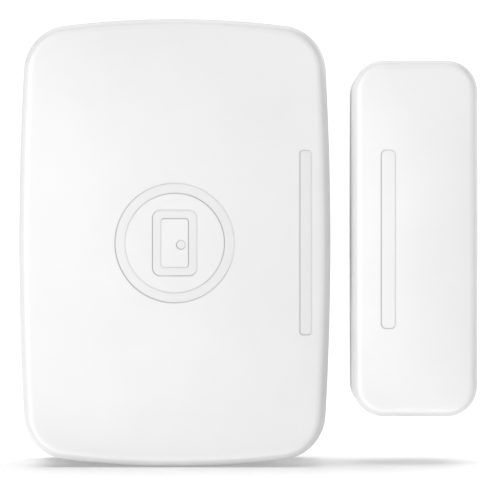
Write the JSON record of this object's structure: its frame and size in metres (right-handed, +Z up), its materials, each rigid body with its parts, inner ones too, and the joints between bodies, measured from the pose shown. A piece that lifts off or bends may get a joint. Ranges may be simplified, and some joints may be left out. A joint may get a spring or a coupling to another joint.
{
  "type": "door contact sensor",
  "caption": "Surface-mounted door contact sensor: pillow-faced battery sensor case on a slide-on wall plate, and its slim magnet unit.",
  "frame": {"origin": "centre of the sensor's adhesive pad, on the wall", "axes": "+Z up along the door's edge, +Y into the wall, +X from the sensor towards the magnet unit"},
  "size_m": [0.0525, 0.0145, 0.051],
  "materials": {
    "case_plastic": "satin white, finely spark-eroded",
    "inner_plastic": "matt off-white",
    "foam_tape": "closed-cell foam",
    "cell_steel": "nickel-plated steel",
    "seal_polymer": "matt grey",
    "dark_epoxy": "matt black moulding",
    "nickel_plate": "nickel plate",
    "board_laminate": "green solder mask",
    "screw_steel": "zinc plate",
    "tin_plate": "tin plate",
    "capacitor_resin": "moulded resin",
    "clear_lens": "clear moulding",
    "reed_glass": "clear greenish glass",
    "magnet_plate": "bright nickel plate"
  },
  "bodies": {
    "wall_mount": {"sensor_adhesive_pad": "foam_tape", "sensor_mount_plate": "inner_plastic"},
    "sensor_body": {"rear_housing": "case_plastic", "coin_cell_positive_can": "cell_steel", "coin_cell_negative_cap": "cell_steel", "coin_cell_seal_ring": "seal_polymer", "coin_cell_pellets": "dark_epoxy", "battery_negative_contact": "nickel_plate", "battery_positive_contact": "nickel_plate", "circuit_board": "board_laminate", "board_screw_lower_left": "screw_steel", "board_screw_upper_right": "screw_steel", "rf_shield_can": "tin_plate", "radio_chip": "dark_epoxy", "crystal_can": "tin_plate", "motion_sensing_chip": "dark_epoxy", "power_regulator_chip": "dark_epoxy", "bulk_capacitor": "capacitor_resin", "antenna_strip": "nickel_plate", "status_led": "clear_lens", "reed_glass_capsule": "reed_glass", "reed_fixed_blade": "nickel_plate", "reed_lower_lead": "nickel_plate", "tact_switch_body": "dark_epoxy"},
    "cover": {"front_cover": "case_plastic", "light_pipe": "clear_lens"},
    "pair_button": {"pairing_button": "inner_plastic", "tact_switch_plunger": "dark_epoxy"},
    "reed_blade": {"reed_moving_blade": "nickel_plate"},
    "magnet_carrier": {"magnet_adhesive_pad": "foam_tape", "magnet_base": "case_plastic", "bar_magnet": "magnet_plate", "magnet_foam_strip": "foam_tape"},
    "magnet_lid": {"magnet_cover": "case_plastic"}
  },
  "joints": [
    {"name": "sensor_slide", "type": "slide", "parent": "wall_mount", "child": "sensor_body", "axis": [0, 0, 1], "range_m": [0, 0.055]},
    {"name": "front_cover_pull", "type": "slide", "parent": "sensor_body", "child": "cover", "axis": [0, -1, 0], "range_m": [0, 0.025]},
    {"name": "pair_button_press", "type": "slide", "parent": "sensor_body", "child": "pair_button", "axis": [0, -1, 0], "range_m": [0, 0.00025], "stiffness_N_per_m": 300},
    {"name": "reed_blade_flex", "type": "hinge", "parent": "sensor_body", "child": "reed_blade", "pos_m": [0.0139, -0.01038, -0.0053], "axis": [-1, 0, 0], "range_deg": [0, 1.2], "stiffness_Nm_per_rad": 0.0001},
    {"name": "magnet_slide", "type": "slide", "parent": "wall_mount", "child": "magnet_carrier", "axis": [1, 0, 0], "range_m": [0, 0.06]},
    {"name": "magnet_cover_pull", "type": "slide", "parent": "magnet_carrier", "child": "magnet_lid", "axis": [0, -1, 0], "range_m": [0, 0.015]}
  ]
}
